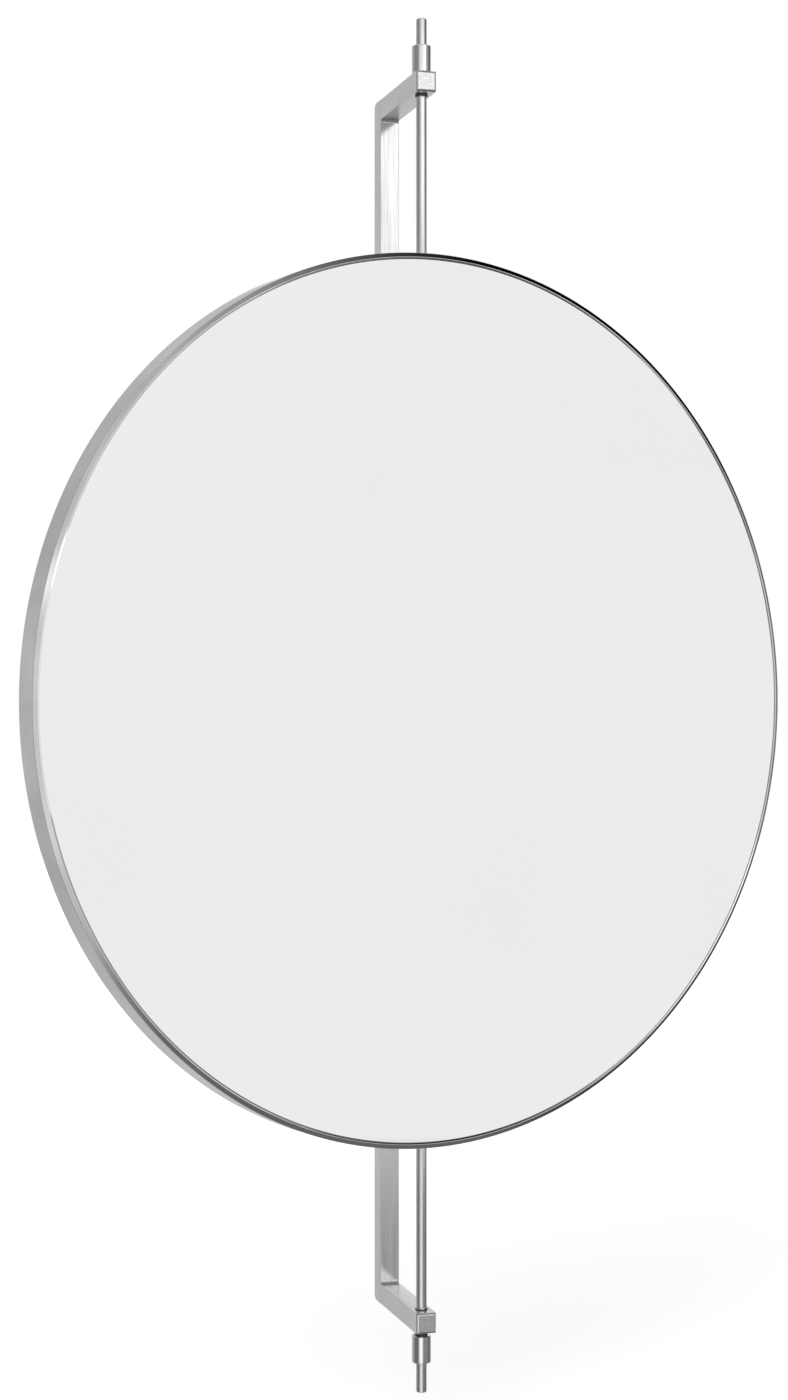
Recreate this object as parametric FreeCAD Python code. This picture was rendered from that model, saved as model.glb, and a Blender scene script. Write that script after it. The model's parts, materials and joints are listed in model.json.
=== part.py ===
import FreeCAD, Part
import math
import os

# A round wall mirror that swivels on an upright rod. A square bar screwed to the wall carries
# two arms, the rod turns in plastic bushes at the arms' ends, and the mirror hangs on the rod.
#
# Frame: millimetres, +Z up, +Y into the wall, +X to the right as one faces the mirror.
# The origin is on the wall face of the bar, at mid height.

# ---- wall bracket ----
BAR_SIDE = 14.0              # side of the square bar that the wall bar and the arms are cut from
BRACKET_HEIGHT = 856.0       # over the two arms' outer faces
ROD_STANDOFF = 88.5          # wall to the rod's axis
ARM_OVERHANG = 11.5          # rod's axis to the arm's front end
ARM_END_RADIUS = 1.5         # rounding of the arm's front end
ARM_ROOT_RADIUS = 2.0        # hollow at the arm's root, on its inner face
ARM_ROOT_LAND = 0.3          # metal left at the root's lower edge
HEEL_RADIUS = 4.5            # rounding of the wall bar's ends, on the wall side
BAR_EDGE_RADIUS = 0.5        # broken long edges of the square bar

WALL_SCREW_SPACING = 480.0   # between the two wall screws
WALL_HOLE_RADIUS = 2.5
WALL_SINK_RADIUS = 5.0       # countersink, on the bar's front face

ARM_SCREW_RADIUS = 2.0       # countersunk screw from the wall side into each arm
ARM_SCREW_HEAD_RADIUS = 3.8
ARM_SCREW_REACH = 16.0       # thread length inside the arm
ARM_SCREW_HEAD_SINK = 0.5    # head below the wall face, and so below the heel's rounding
ARM_SCREW_SOCKET_AF = 2.5
ARM_SCREW_SOCKET_DEPTH = 1.4

# ---- swivel ----
ROD_RADIUS = 3.5
ROD_TOP_REACH = 37.7         # rod's top end beyond the upper arm's outer face
ROD_BOTTOM_REACH = 42.3      # rod's bottom end beyond the lower arm's outer face
ROD_END_CHAMFER = 0.6
BUSH_WALL = 0.5              # plastic wall round the rod
BUSH_MEETING_GAP = 1.2       # between the two bushes in an arm
FLANGE_LIP = 0.3             # flange beyond the bush's body
UPPER_INNER_FLANGE = 1.2     # on the arms' inner faces
LOWER_INNER_FLANGE = 0.5
UPPER_BEARING_FLANGE = 0.6   # under the upper collar, which carries the mirror's weight
LOWER_SPACING_FLANGE = 3.3   # over the lower collar
RUNNING_CLEARANCE = 0.05     # rod in bush, radial
SEAT_CLEARANCE = 0.02        # parts that are pushed together
COLLAR_RADIUS = 6.5
COLLAR_LENGTH = 18.5
COLLAR_GAP = 0.1             # collar to the bush's flange
COLLAR_CHAMFER = 0.5

GRUB_RADIUS = 2.0            # headless screws in the collars and the rod clamps
GRUB_SOCKET_AF = 2.0
GRUB_SOCKET_DEPTH = 1.3
GRUB_SINK = 0.2              # screw below the surface that it enters

# ---- mirror ----
MIRROR_TURN = 16.0           # degrees about the rod, from parallel with the wall
MIRROR_RADIUS = 300.0
MIRROR_RISE = 1.4            # mirror's centre above the bracket's
RIM_DEPTH = 21.0
RIM_WALL = 3.2
RIM_SLOPE_WIDTH = 2.9        # sloped front face, across the wall
RIM_SLOPE_DEPTH = 1.2        # and back along the outer face
RIM_EDGE_RADIUS = 0.3
RIM_TO_ROD_GAP = 3.3         # rim's rear edge to the rod's surface

GLASS_RECESS = 0.5           # glass behind the rim's front face
GLASS_THICKNESS = 5.0
GLASS_GAP = 0.5              # all round, glass to rim
GLASS_ARRIS = 0.5
TAPE_THICKNESS = 1.0
TAPE_WIDTH = 22.0
TAPE_END_INSET = 110.0       # mirror's radius less half the tape's length
TAPE_SIDE_INSET = 124.0      # mirror's radius less the outer strips' outer edge
TAPE_COUNT = 4
BOARD_GAP = 2.0              # all round, board to rim
PLATE_THICKNESS = 2.0
PLATE_GAP = 0.5              # all round, back plate to rim
PLATE_INSET = 0.5            # back plate's rear face inside the rim's rear edge

LUG_COUNT = 6
LUG_THICKNESS = 4.0
LUG_WIDTH = 20.0
LUG_REACH = 20.0             # from the rim's inner wall towards the centre
LUG_SCREW_INSET = 11.0       # screw's axis from the rim's inner wall
PLATE_SCREW_RADIUS = 2.0
PLATE_SCREW_HEAD_RADIUS = 3.8
PLATE_SCREW_SHORT = 0.4      # screw's tip short of the lug's front face
PLATE_SCREW_SOCKET_AF = 2.5
PLATE_SCREW_SOCKET_DEPTH = 1.4
SCREW_HOLE_CLEARANCE = 0.2   # radial, round a screw that passes through

# ---- rod clamps on the back plate ----
CLAMP_HEIGHT = 200.0         # clamp's centre above and below the mirror's centre
CLAMP_WIDTH = 36.0
CLAMP_TALL = 24.0
CLAMP_BEHIND_ROD = 6.5       # rod's axis to the clamp's rear face
CLAMP_EDGE_RADIUS = 1.5
CLAMP_SCREW_OFFSET = 11.5    # screw's axis to the rod's axis
CLAMP_SCREW_RADIUS = 2.0
CAP_HEAD_RADIUS = 3.5
CAP_HEAD_HEIGHT = 4.0
CAP_SOCKET_AF = 3.0
CAP_SOCKET_DEPTH = 2.0
CAP_HEAD_SINK = 0.4          # head below the clamp's rear face
NUT_AF = 7.0
NUT_THICKNESS = 2.9
SCREW_PAST_NUT = 0.4

# ---- worked out from the above ----
ARM_OUTER_Z = BRACKET_HEIGHT / 2
ARM_INNER_Z = ARM_OUTER_Z - BAR_SIDE
ARM_MIDDLE_Z = ARM_OUTER_Z - BAR_SIDE / 2
ARM_END_Y = -(ROD_STANDOFF + ARM_OVERHANG)
ROD_TOP_Z = ARM_OUTER_Z + ROD_TOP_REACH
ROD_BOTTOM_Z = -ARM_OUTER_Z - ROD_BOTTOM_REACH
BUSH_BORE_RADIUS = ROD_RADIUS + RUNNING_CLEARANCE
BUSH_BODY_RADIUS = BUSH_BORE_RADIUS + BUSH_WALL
BUSH_SEAT_RADIUS = BUSH_BODY_RADIUS + SEAT_CLEARANCE
FLANGE_RADIUS = BUSH_BODY_RADIUS + FLANGE_LIP
BUSH_BODY_LENGTH = (BAR_SIDE - BUSH_MEETING_GAP) / 2
ARM_SCREW_HEAD_Y = -ARM_SCREW_HEAD_SINK
HELD_BORE_RADIUS = ROD_RADIUS + SEAT_CLEARANCE

RIM_INNER_RADIUS = MIRROR_RADIUS - RIM_WALL
FRONT_TO_ROD = RIM_DEPTH + RIM_TO_ROD_GAP + ROD_RADIUS
TAPE_LENGTH = 2 * (MIRROR_RADIUS - TAPE_END_INSET)
TAPE_PITCH = (2 * (MIRROR_RADIUS - TAPE_SIDE_INSET) - TAPE_WIDTH) / (TAPE_COUNT - 1)
# The board fills what the other layers leave of the rim's depth.
FRONT_LAYERS = GLASS_RECESS + GLASS_THICKNESS + TAPE_THICKNESS
REAR_LAYERS = LUG_THICKNESS + PLATE_THICKNESS + PLATE_INSET
BOARD_THICKNESS = RIM_DEPTH - FRONT_LAYERS - REAR_LAYERS
PLATE_SCREW_LENGTH = PLATE_THICKNESS + LUG_THICKNESS - PLATE_SCREW_SHORT
# Depths in the mirror run along its own Y, from the rod's axis at 0 to the front at -FRONT_TO_ROD.
RIM_FRONT_Y = -FRONT_TO_ROD
GLASS_FRONT_Y = RIM_FRONT_Y + GLASS_RECESS
GLASS_BACK_Y = GLASS_FRONT_Y + GLASS_THICKNESS
BOARD_FRONT_Y = GLASS_BACK_Y + TAPE_THICKNESS
BOARD_BACK_Y = BOARD_FRONT_Y + BOARD_THICKNESS
PLATE_FRONT_Y = BOARD_BACK_Y + LUG_THICKNESS
PLATE_BACK_Y = PLATE_FRONT_Y + PLATE_THICKNESS
LUG_SCREW_CIRCLE = RIM_INNER_RADIUS - LUG_SCREW_INSET

ALONG_X = FreeCAD.Vector(1, 0, 0)
ALONG_Y = FreeCAD.Vector(0, 1, 0)
ALONG_Z = FreeCAD.Vector(0, 0, 1)
ORIGIN = FreeCAD.Vector(0, 0, 0)
SIDES = {"upper": 1, "lower": -1}


def box(x_span, y_span, z_span):
    """A box between two values along each axis."""
    spans = [sorted(span) for span in (x_span, y_span, z_span)]
    sizes = [high - low for low, high in spans]
    return Part.makeBox(*sizes, FreeCAD.Vector(*[low for low, high in spans]))


def disc(radius, y_span, x=0.0, z=0.0):
    """A cylinder along Y between two depths."""
    low, high = sorted(y_span)
    return Part.makeCylinder(radius, high - low, FreeCAD.Vector(x, low, z), ALONG_Y)


def post(radius, z_span, x=0.0, y=0.0):
    """A cylinder along Z between two heights."""
    low, high = sorted(z_span)
    return Part.makeCylinder(radius, high - low, FreeCAD.Vector(x, y, low), ALONG_Z)


def cone_y(radius_at_start, radius_at_end, y_start, y_end, x=0.0, z=0.0):
    """A cone along Y, from one radius at y_start to another at y_end."""
    length = y_end - y_start
    direction = FreeCAD.Vector(0, math.copysign(1, length), 0)
    base = FreeCAD.Vector(x, y_start, z)
    return Part.makeCone(radius_at_start, radius_at_end, abs(length), base, direction)


def hexagon_y(across_flats, y_span, x=0.0, z=0.0):
    """A hexagonal prism along Y."""
    low, high = sorted(y_span)
    corner = across_flats / math.sqrt(3)
    turns = [math.radians(60 * i) for i in range(7)]
    points = [FreeCAD.Vector(x + corner * math.cos(a), low, z + corner * math.sin(a)) for a in turns]
    return Part.Face(Part.makePolygon(points)).extrude(FreeCAD.Vector(0, high - low, 0))


def edges_where(shape, test):
    """The edges of a shape whose every vertex passes a test."""
    return [edge for edge in shape.Edges if all(test(vertex.Point) for vertex in edge.Vertexes)]


def parallel(edges, direction):
    """Those of some straight edges that run along a direction."""
    return [e for e in edges if abs(abs(e.tangentAt(e.FirstParameter).dot(direction)) - 1) < 1e-6]


def near(value, target):
    return abs(value - target) < 1e-6


def circles_at(shape, y, radius):
    """The full circles about the Y axis at one depth, with one radius."""
    return [
        edge for edge in shape.Edges
        if isinstance(edge.Curve, Part.Circle)
        and near(edge.Curve.Center.y, y)
        and near(edge.Curve.Radius, radius)
    ]


def on_the_rod(shape, rise=0.0):
    """Takes a shape from a frame on the rod's axis to its place and turn, and raises it."""
    placed = shape.copy()
    placed.rotate(ORIGIN, ALONG_Z, MIRROR_TURN)
    placed.translate(FreeCAD.Vector(0, -ROD_STANDOFF, rise))
    return placed


def countersunk_screw(radius, head_radius, head_y, tip_y, x, z, socket_af, socket_depth):
    """A countersunk socket screw along Y, with its flat head at head_y."""
    towards_tip = math.copysign(1, tip_y - head_y)
    head_end = head_y + towards_tip * (head_radius - radius)
    screw = disc(radius, (head_y, tip_y), x, z).fuse(cone_y(head_radius, radius, head_y, head_end, x, z))
    socket = hexagon_y(socket_af, (head_y, head_y + towards_tip * socket_depth), x, z)
    return screw.cut(socket).removeSplitter()


def countersink(radius, head_radius, head_y, inward, x, z):
    """The cone that a countersunk head leaves, opening at head_y; inward is +1 or -1 along Y."""
    mouth = head_radius - radius
    return cone_y(head_radius, radius, head_y, head_y + inward * mouth, x, z)


# ---- wall bracket ----

def wall_bar():
    """The upright bar on the wall, with its two wall-screw holes and a hole behind each arm."""
    bar = box((-BAR_SIDE / 2, BAR_SIDE / 2), (-BAR_SIDE, 0), (-ARM_OUTER_Z, ARM_OUTER_Z))
    heels = edges_where(bar, lambda p: near(p.y, 0) and near(abs(p.z), ARM_OUTER_Z))
    bar = bar.makeFillet(HEEL_RADIUS, parallel(heels, ALONG_X))
    front_long = parallel(edges_where(bar, lambda p: near(p.y, -BAR_SIDE)), ALONG_Z)
    bar = bar.makeFillet(BAR_EDGE_RADIUS, front_long)
    for side in SIDES.values():
        wall_z = side * WALL_SCREW_SPACING / 2
        hole = disc(WALL_HOLE_RADIUS, (-BAR_SIDE, 0), z=wall_z)
        sink = countersink(WALL_HOLE_RADIUS, WALL_SINK_RADIUS, -BAR_SIDE, 1, 0, wall_z)
        arm_z = side * ARM_MIDDLE_Z
        clear = SCREW_HOLE_CLEARANCE
        through = disc(ARM_SCREW_RADIUS + clear, (-BAR_SIDE, 0), z=arm_z)
        seat = countersink(ARM_SCREW_RADIUS, ARM_SCREW_HEAD_RADIUS, ARM_SCREW_HEAD_Y, -1, 0, arm_z)
        mouth = disc(ARM_SCREW_HEAD_RADIUS, (ARM_SCREW_HEAD_Y, 0), z=arm_z)
        bar = bar.cut(hole.fuse([sink, through, seat, mouth]))
    return bar


def arm_root(side):
    """The hollow-faced swelling that joins an arm's inner face to the wall bar's front face."""
    foot = ARM_ROOT_RADIUS + ARM_ROOT_LAND
    x_edge = BAR_SIDE / 2 - BAR_EDGE_RADIUS
    inner_z = side * ARM_INNER_Z
    centre_z = inner_z - side * ARM_ROOT_RADIUS
    z_span = (centre_z, inner_z + side * BAR_EDGE_RADIUS)
    block = box((-x_edge, x_edge), (-BAR_SIDE - foot, -BAR_SIDE), z_span)
    centre = FreeCAD.Vector(-BAR_SIDE, -BAR_SIDE - foot, centre_z)
    hollow = Part.makeCylinder(ARM_ROOT_RADIUS, 2 * BAR_SIDE, centre, ALONG_X)
    return block.cut(hollow)


def arm(side):
    """One arm: a square bar from the wall bar's front face to its rounded end, bored for the bushes."""
    x_span = (-BAR_SIDE / 2, BAR_SIDE / 2)
    y_span = (ARM_END_Y, -BAR_SIDE)
    z_span = (side * ARM_INNER_Z, side * ARM_OUTER_Z)
    blank = box(x_span, y_span, z_span)
    end_edges = edges_where(blank, lambda p: near(p.y, ARM_END_Y))
    end_upright = blank.makeFillet(ARM_END_RADIUS, parallel(end_edges, ALONG_Z))
    end_level = blank.makeFillet(ARM_END_RADIUS, parallel(end_edges, ALONG_X))
    long_edges = blank.makeFillet(BAR_EDGE_RADIUS, parallel(blank.Edges, ALONG_Y))
    shaped = end_upright.common(end_level).common(long_edges).fuse(arm_root(side))
    bore = post(BUSH_SEAT_RADIUS, z_span, y=-ROD_STANDOFF)
    tapped = disc(ARM_SCREW_RADIUS + SEAT_CLEARANCE, (-BAR_SIDE - ARM_SCREW_REACH, -BAR_SIDE),
                  z=side * ARM_MIDDLE_Z)
    return shaped.cut(bore.fuse(tapped))


def arm_screw(side):
    """The countersunk screw that holds an arm, put in from the wall side."""
    return countersunk_screw(
        ARM_SCREW_RADIUS, ARM_SCREW_HEAD_RADIUS - SEAT_CLEARANCE, ARM_SCREW_HEAD_Y,
        -BAR_SIDE - ARM_SCREW_REACH + SEAT_CLEARANCE, 0, side * ARM_MIDDLE_Z,
        ARM_SCREW_SOCKET_AF, ARM_SCREW_SOCKET_DEPTH,
    )


def outer_flange(side):
    """Thickness of the flange between an arm and its collar."""
    return UPPER_BEARING_FLANGE if side > 0 else LOWER_SPACING_FLANGE


def inner_flange(side):
    """Thickness of the flange on an arm's inner face."""
    return UPPER_INNER_FLANGE if side > 0 else LOWER_INNER_FLANGE


def bush(side, outward):
    """A flanged plastic bush in an arm. outward is +1 for the one at the arm's outer face."""
    face_z = ARM_OUTER_Z if outward > 0 else ARM_INNER_Z
    thickness = outer_flange(side) if outward > 0 else inner_flange(side)
    body = post(BUSH_BODY_RADIUS, (face_z, face_z - outward * BUSH_BODY_LENGTH))
    flange = post(FLANGE_RADIUS, (face_z, face_z + outward * thickness))
    bore = post(BUSH_BORE_RADIUS, (face_z - outward * BUSH_BODY_LENGTH, face_z + outward * thickness))
    shape = body.fuse(flange).cut(bore).removeSplitter()
    if side < 0:
        shape = shape.mirror(ORIGIN, ALONG_Z)
    shape.translate(FreeCAD.Vector(0, -ROD_STANDOFF, 0))
    return shape


# ---- rod and collars, in the mirror's own frame ----

def pivot_rod():
    """The rod, with both ends chamfered."""
    rod = post(ROD_RADIUS, (ROD_BOTTOM_Z, ROD_TOP_Z))
    rims = [e for e in rod.Edges if isinstance(e.Curve, Part.Circle)]
    return rod.makeChamfer(ROD_END_CHAMFER, rims)


def collar_inner_z(side):
    """Height of a collar's face next to its arm, measured away from the middle."""
    return ARM_OUTER_Z + outer_flange(side) + COLLAR_GAP


def collar_middle_z(side):
    """Height of a collar's middle, with its sign."""
    return side * (collar_inner_z(side) + COLLAR_LENGTH / 2)


def collar(side):
    """The collar that keeps the rod in the arms, with a tapped hole at its back."""
    inner = collar_inner_z(side)
    body = post(COLLAR_RADIUS, (inner, inner + COLLAR_LENGTH))
    rims = [e for e in body.Edges if isinstance(e.Curve, Part.Circle)]
    body = body.makeChamfer(COLLAR_CHAMFER, rims)
    bore = post(HELD_BORE_RADIUS, (inner, inner + COLLAR_LENGTH))
    tapped = disc(GRUB_RADIUS + SEAT_CLEARANCE, (0, COLLAR_RADIUS), z=inner + COLLAR_LENGTH / 2)
    shape = body.cut(bore).cut(tapped)
    return shape if side > 0 else shape.mirror(ORIGIN, ALONG_Z)


def grub_screw(outer_y, z):
    """A headless socket screw at the back of the rod, bearing on it."""
    head_y = outer_y - GRUB_SINK
    body = disc(GRUB_RADIUS, (ROD_RADIUS + SEAT_CLEARANCE, head_y), z=z)
    return body.cut(hexagon_y(GRUB_SOCKET_AF, (head_y - GRUB_SOCKET_DEPTH, head_y), z=z))


# ---- mirror, in its own frame ----

def mirror_rim():
    """The ring round the glass: a flat bar rolled to a circle, with a sloped front face."""
    rear_y = RIM_FRONT_Y + RIM_DEPTH
    section = [
        (RIM_INNER_RADIUS, RIM_FRONT_Y),
        (MIRROR_RADIUS - RIM_SLOPE_WIDTH, RIM_FRONT_Y),
        (MIRROR_RADIUS, RIM_FRONT_Y + RIM_SLOPE_DEPTH),
        (MIRROR_RADIUS, rear_y),
        (RIM_INNER_RADIUS, rear_y),
    ]
    outline = Part.makePolygon([FreeCAD.Vector(x, y, 0) for x, y in section + section[:1]])
    ring = Part.Face(outline).revolve(ORIGIN, ALONG_Y, 360)
    rounded = circles_at(ring, rear_y, MIRROR_RADIUS) + circles_at(ring, rear_y, RIM_INNER_RADIUS)
    rounded += circles_at(ring, RIM_FRONT_Y + RIM_SLOPE_DEPTH, MIRROR_RADIUS)
    return ring.makeFillet(RIM_EDGE_RADIUS, rounded)


def mirror_glass():
    """The silvered glass, with its front and back edges broken."""
    glass = disc(RIM_INNER_RADIUS - GLASS_GAP, (GLASS_FRONT_Y, GLASS_BACK_Y))
    rims = [e for e in glass.Edges if isinstance(e.Curve, Part.Circle)]
    return glass.makeChamfer(GLASS_ARRIS, rims)


def tape_strips():
    """Upright strips of foam tape between the glass and the board."""
    first = -TAPE_PITCH * (TAPE_COUNT - 1) / 2
    strips = []
    for i in range(TAPE_COUNT):
        x = first + i * TAPE_PITCH
        strips.append(box(
            (x - TAPE_WIDTH / 2, x + TAPE_WIDTH / 2),
            (GLASS_BACK_Y, BOARD_FRONT_Y),
            (-TAPE_LENGTH / 2, TAPE_LENGTH / 2),
        ))
    return Part.makeCompound(strips)


def backing_board():
    """The board that the glass is taped to; it lies on the lugs."""
    return disc(RIM_INNER_RADIUS - BOARD_GAP, (BOARD_FRONT_Y, BOARD_BACK_Y))


def lug_places():
    """Angle, x and z of each lug's screw, in degrees and millimetres."""
    step = 360 / LUG_COUNT
    for i in range(LUG_COUNT):
        angle = step * (i + 0.5)
        turn = math.radians(angle)
        yield angle, LUG_SCREW_CIRCLE * math.cos(turn), LUG_SCREW_CIRCLE * math.sin(turn)


def rim_lugs():
    """The tapped lugs welded inside the rim, which carry the board and the back plate."""
    y_span = (BOARD_BACK_Y, PLATE_FRONT_Y)
    bore = disc(RIM_INNER_RADIUS, y_span)
    lugs = []
    for angle, x, z in lug_places():
        lug = box((RIM_INNER_RADIUS - LUG_REACH, MIRROR_RADIUS), y_span, (-LUG_WIDTH / 2, LUG_WIDTH / 2))
        lug.rotate(ORIGIN, ALONG_Y, -angle)
        tapped = disc(PLATE_SCREW_RADIUS + SEAT_CLEARANCE, y_span, x, z)
        lugs.append(lug.common(bore).cut(tapped))
    return Part.makeCompound(lugs)


def clamp_screw_places():
    """x and z of each clamp screw."""
    for side in SIDES.values():
        for hand in (-1, 1):
            yield hand * CLAMP_SCREW_OFFSET, side * CLAMP_HEIGHT


def back_plate():
    """The plate that closes the mirror's back and carries the rod clamps."""
    plate = disc(RIM_INNER_RADIUS - PLATE_GAP, (PLATE_FRONT_Y, PLATE_BACK_Y))
    y_span = (PLATE_FRONT_Y, PLATE_BACK_Y)
    holes = []
    for angle, x, z in lug_places():
        holes.append(disc(PLATE_SCREW_RADIUS + SCREW_HOLE_CLEARANCE, y_span, x, z))
        holes.append(countersink(PLATE_SCREW_RADIUS, PLATE_SCREW_HEAD_RADIUS, PLATE_BACK_Y, -1, x, z))
    for x, z in clamp_screw_places():
        holes.append(disc(CLAMP_SCREW_RADIUS + SCREW_HOLE_CLEARANCE, y_span, x, z))
    return plate.cut(Part.makeCompound(holes))


def back_plate_screws():
    """The countersunk screws that hold the back plate to the lugs."""
    return Part.makeCompound([
        countersunk_screw(
            PLATE_SCREW_RADIUS, PLATE_SCREW_HEAD_RADIUS - SEAT_CLEARANCE, PLATE_BACK_Y,
            PLATE_BACK_Y - PLATE_SCREW_LENGTH, x, z, PLATE_SCREW_SOCKET_AF, PLATE_SCREW_SOCKET_DEPTH,
        )
        for angle, x, z in lug_places()
    ])


def rod_clamp(side):
    """A saddle on the back plate that grips the rod, counterbored for its two screws."""
    z = side * CLAMP_HEIGHT
    block = box((-CLAMP_WIDTH / 2, CLAMP_WIDTH / 2), (PLATE_BACK_Y, CLAMP_BEHIND_ROD),
                (z - CLAMP_TALL / 2, z + CLAMP_TALL / 2))
    rounded = [e for e in block.Edges if not any(near(v.Point.y, PLATE_BACK_Y) for v in e.Vertexes)]
    block = block.makeFillet(CLAMP_EDGE_RADIUS, rounded + parallel(block.Edges, ALONG_Y))
    cuts = [post(HELD_BORE_RADIUS, (z - CLAMP_TALL / 2, z + CLAMP_TALL / 2))]
    cuts.append(disc(GRUB_RADIUS + SEAT_CLEARANCE, (0, CLAMP_BEHIND_ROD), z=z))
    head_seat = CLAMP_BEHIND_ROD - CAP_HEAD_SINK - CAP_HEAD_HEIGHT
    for hand in (-1, 1):
        x = hand * CLAMP_SCREW_OFFSET
        cuts.append(disc(CLAMP_SCREW_RADIUS + SCREW_HOLE_CLEARANCE, (PLATE_BACK_Y, head_seat), x, z))
        cuts.append(disc(CAP_HEAD_RADIUS + SCREW_HOLE_CLEARANCE, (head_seat, CLAMP_BEHIND_ROD), x, z))
    return block.cut(Part.makeCompound(cuts))


def clamp_screws():
    """The socket cap screws through the rod clamps and the back plate."""
    head_y = CLAMP_BEHIND_ROD - CAP_HEAD_SINK
    seat_y = head_y - CAP_HEAD_HEIGHT
    tip_y = PLATE_FRONT_Y - NUT_THICKNESS - SCREW_PAST_NUT
    screws = []
    for x, z in clamp_screw_places():
        screw = disc(CAP_HEAD_RADIUS, (seat_y, head_y), x, z)
        screw = screw.fuse(disc(CLAMP_SCREW_RADIUS, (tip_y, seat_y), x, z))
        socket = hexagon_y(CAP_SOCKET_AF, (head_y - CAP_SOCKET_DEPTH, head_y), x, z)
        screws.append(screw.cut(socket).removeSplitter())
    return Part.makeCompound(screws)


def clamp_nuts():
    """The nuts on the clamp screws, between the board and the back plate."""
    y_span = (PLATE_FRONT_Y - NUT_THICKNESS, PLATE_FRONT_Y)
    return Part.makeCompound([
        hexagon_y(NUT_AF, y_span, x, z).cut(disc(CLAMP_SCREW_RADIUS + SEAT_CLEARANCE, y_span, x, z))
        for x, z in clamp_screw_places()
    ])


def pieces():
    """Every node's name and shape, in place."""
    yield "wall_bar", wall_bar()
    for word, side in SIDES.items():
        yield f"{word}_arm", arm(side)
        yield f"{word}_arm_screw", arm_screw(side)
        yield f"{word}_outer_bush", bush(side, 1)
        yield f"{word}_inner_bush", bush(side, -1)
        yield f"{word}_collar", on_the_rod(collar(side))
        yield f"{word}_collar_screw", on_the_rod(grub_screw(COLLAR_RADIUS, collar_middle_z(side)))
        yield f"{word}_rod_clamp", on_the_rod(rod_clamp(side), MIRROR_RISE)
        clamp_grub = grub_screw(CLAMP_BEHIND_ROD, side * CLAMP_HEIGHT)
        yield f"{word}_clamp_grub_screw", on_the_rod(clamp_grub, MIRROR_RISE)
    yield "pivot_rod", on_the_rod(pivot_rod())
    mirror_pieces = {
        "mirror_rim": mirror_rim, "mirror_glass": mirror_glass,
        "tape_strips": tape_strips, "backing_board": backing_board, "rim_lugs": rim_lugs,
        "back_plate": back_plate, "back_plate_screws": back_plate_screws,
        "clamp_screws": clamp_screws, "clamp_nuts": clamp_nuts,
    }
    for name, build in mirror_pieces.items():
        yield name, on_the_rod(build(), MIRROR_RISE)


def main():
    os.makedirs("parts", exist_ok=True)
    for name, shape in pieces():
        valid = shape.isValid() and shape.Solids
        if not valid:
            raise ValueError(f"{name} isn't a valid solid")
        shape.exportStep(os.path.join("parts", f"{name}.step"))
        print(f"{name}: {len(shape.Solids)} solid(s), {shape.Volume / 1000:.2f} cm3")


main()
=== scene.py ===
"""Looks of a round wall mirror that swivels on an upright rod between two arms."""

import json
import logging
import math
from dataclasses import dataclass
from enum import Enum
from typing import Callable, Iterable

import bmesh
import bpy
import numpy as np
from mathutils import Matrix, Vector

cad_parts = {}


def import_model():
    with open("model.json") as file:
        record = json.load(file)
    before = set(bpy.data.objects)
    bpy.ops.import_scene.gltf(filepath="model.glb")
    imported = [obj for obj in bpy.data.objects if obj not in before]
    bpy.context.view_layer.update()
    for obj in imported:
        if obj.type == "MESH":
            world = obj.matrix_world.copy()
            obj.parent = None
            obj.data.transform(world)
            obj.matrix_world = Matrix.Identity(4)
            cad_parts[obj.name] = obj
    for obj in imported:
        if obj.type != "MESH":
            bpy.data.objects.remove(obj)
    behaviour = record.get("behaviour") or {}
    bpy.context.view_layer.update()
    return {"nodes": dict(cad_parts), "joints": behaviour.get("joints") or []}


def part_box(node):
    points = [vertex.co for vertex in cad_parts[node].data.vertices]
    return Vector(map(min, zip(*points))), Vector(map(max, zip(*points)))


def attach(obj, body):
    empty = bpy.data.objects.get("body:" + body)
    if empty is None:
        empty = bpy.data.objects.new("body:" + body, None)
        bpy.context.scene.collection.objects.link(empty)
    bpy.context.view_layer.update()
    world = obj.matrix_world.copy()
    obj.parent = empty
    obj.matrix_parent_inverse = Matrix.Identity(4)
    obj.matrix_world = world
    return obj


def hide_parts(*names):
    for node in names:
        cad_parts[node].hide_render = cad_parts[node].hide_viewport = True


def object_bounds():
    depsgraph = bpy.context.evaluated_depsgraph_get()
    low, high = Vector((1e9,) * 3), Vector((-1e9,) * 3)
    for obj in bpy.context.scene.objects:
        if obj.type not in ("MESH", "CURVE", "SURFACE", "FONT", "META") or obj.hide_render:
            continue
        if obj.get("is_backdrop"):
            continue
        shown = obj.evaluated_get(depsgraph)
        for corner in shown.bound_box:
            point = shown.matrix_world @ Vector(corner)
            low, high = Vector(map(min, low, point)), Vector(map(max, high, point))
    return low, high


LOG = logging.getLogger("wall_mirror")
NEAR = 1e-4                     # metres within which two places count as the same
NOISE_SPAN = (0.3, 0.7)         # a noise texture seldom leaves this span

Colour = tuple[float, float, float]
Greys = tuple[tuple[float, float], ...]
Links = bpy.types.NodeLinks
Nodes = bpy.types.Nodes
Socket = bpy.types.NodeSocket


class Run(Enum):
    """The way that a brushed finish runs."""

    UPRIGHT = (1.0, 1.0, 0.02)
    LEVEL = (1.0, 0.02, 1.0)
    ROUND = (0.02, 1.0, 1.0)


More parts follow.
